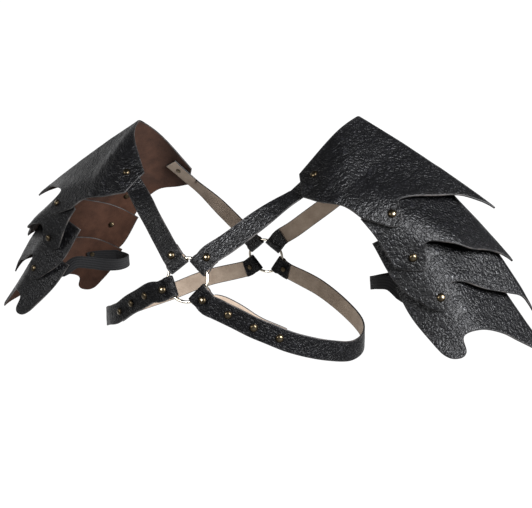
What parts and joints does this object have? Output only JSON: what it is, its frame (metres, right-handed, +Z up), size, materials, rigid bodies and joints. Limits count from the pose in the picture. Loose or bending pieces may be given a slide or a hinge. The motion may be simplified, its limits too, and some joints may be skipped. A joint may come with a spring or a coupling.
{
  "type": "pair of leather shoulder pauldrons on a ringed harness",
  "caption": "Layered leather shoulder guards, arched plates over overlapping lames, joined by riveted straps to a ring at the chest and at the back, with elastic arm loops.",
  "frame": {"origin": "on the wearer's middle plane, halfway from chest to back, at the height of the top of the shoulders", "axes": "+X towards the wearer's left arm, -Y the way the wearer faces, +Z up"},
  "size_m": [0.7292, 0.272, 0.2698],
  "materials": {
    "plate_leather": "black crinkled leather with a satin sheen outside, reddish brown suede inside",
    "strap_leather": "black grain leather strap, satin, with a tan flesh side",
    "rivet_brass": "antique brass dome, rubbed bright on top and dark round the rim",
    "ring_metal": "pale satin plated wire",
    "elastic": "black ribbed woven elastic"
  },
  "bodies": {
    "root": {"front_ring": "ring_metal", "back_ring": "ring_metal", "left_shoulder_plate": "plate_leather", "left_lame_1": "plate_leather", "left_lame_2": "plate_leather", "left_lame_3": "plate_leather", "left_arm_strap": "elastic", "left_side_strap": "strap_leather", "left_upper_strap_front": "strap_leather", "left_upper_strap_back": "strap_leather", "left_snap_1": "rivet_brass", "left_snap_2": "rivet_brass", "left_snap_3": "rivet_brass", "left_snap_4": "rivet_brass", "left_side_rivet_back": "rivet_brass", "left_ring_rivet_front": "rivet_brass", "left_strap_rivet_front": "rivet_brass", "left_tab_rivet_1_front": "rivet_brass", "left_tab_rivet_2_front": "rivet_brass", "left_tab_rivet_3_front": "rivet_brass", "left_ring_rivet_back": "rivet_brass", "left_strap_rivet_back": "rivet_brass", "left_tab_rivet_1_back": "rivet_brass", "left_tab_rivet_2_back": "rivet_brass", "left_tab_rivet_3_back": "rivet_brass", "right_shoulder_plate": "plate_leather", "right_lame_1": "plate_leather", "right_lame_2": "plate_leather", "right_lame_3": "plate_leather", "right_arm_strap": "elastic", "right_side_strap": "strap_leather", "right_upper_strap_front": "strap_leather", "right_upper_strap_back": "strap_leather", "right_snap_1": "rivet_brass", "right_snap_2": "rivet_brass", "right_snap_3": "rivet_brass", "right_snap_4": "rivet_brass", "right_side_rivet_back": "rivet_brass", "right_ring_rivet_front": "rivet_brass", "right_strap_rivet_front": "rivet_brass", "right_tab_rivet_1_front": "rivet_brass", "right_tab_rivet_2_front": "rivet_brass", "right_tab_rivet_3_front": "rivet_brass", "right_ring_rivet_back": "rivet_brass", "right_strap_rivet_back": "rivet_brass", "right_tab_rivet_1_back": "rivet_brass", "right_tab_rivet_2_back": "rivet_brass", "right_tab_rivet_3_back": "rivet_brass"}
  },
  "joints": []
}
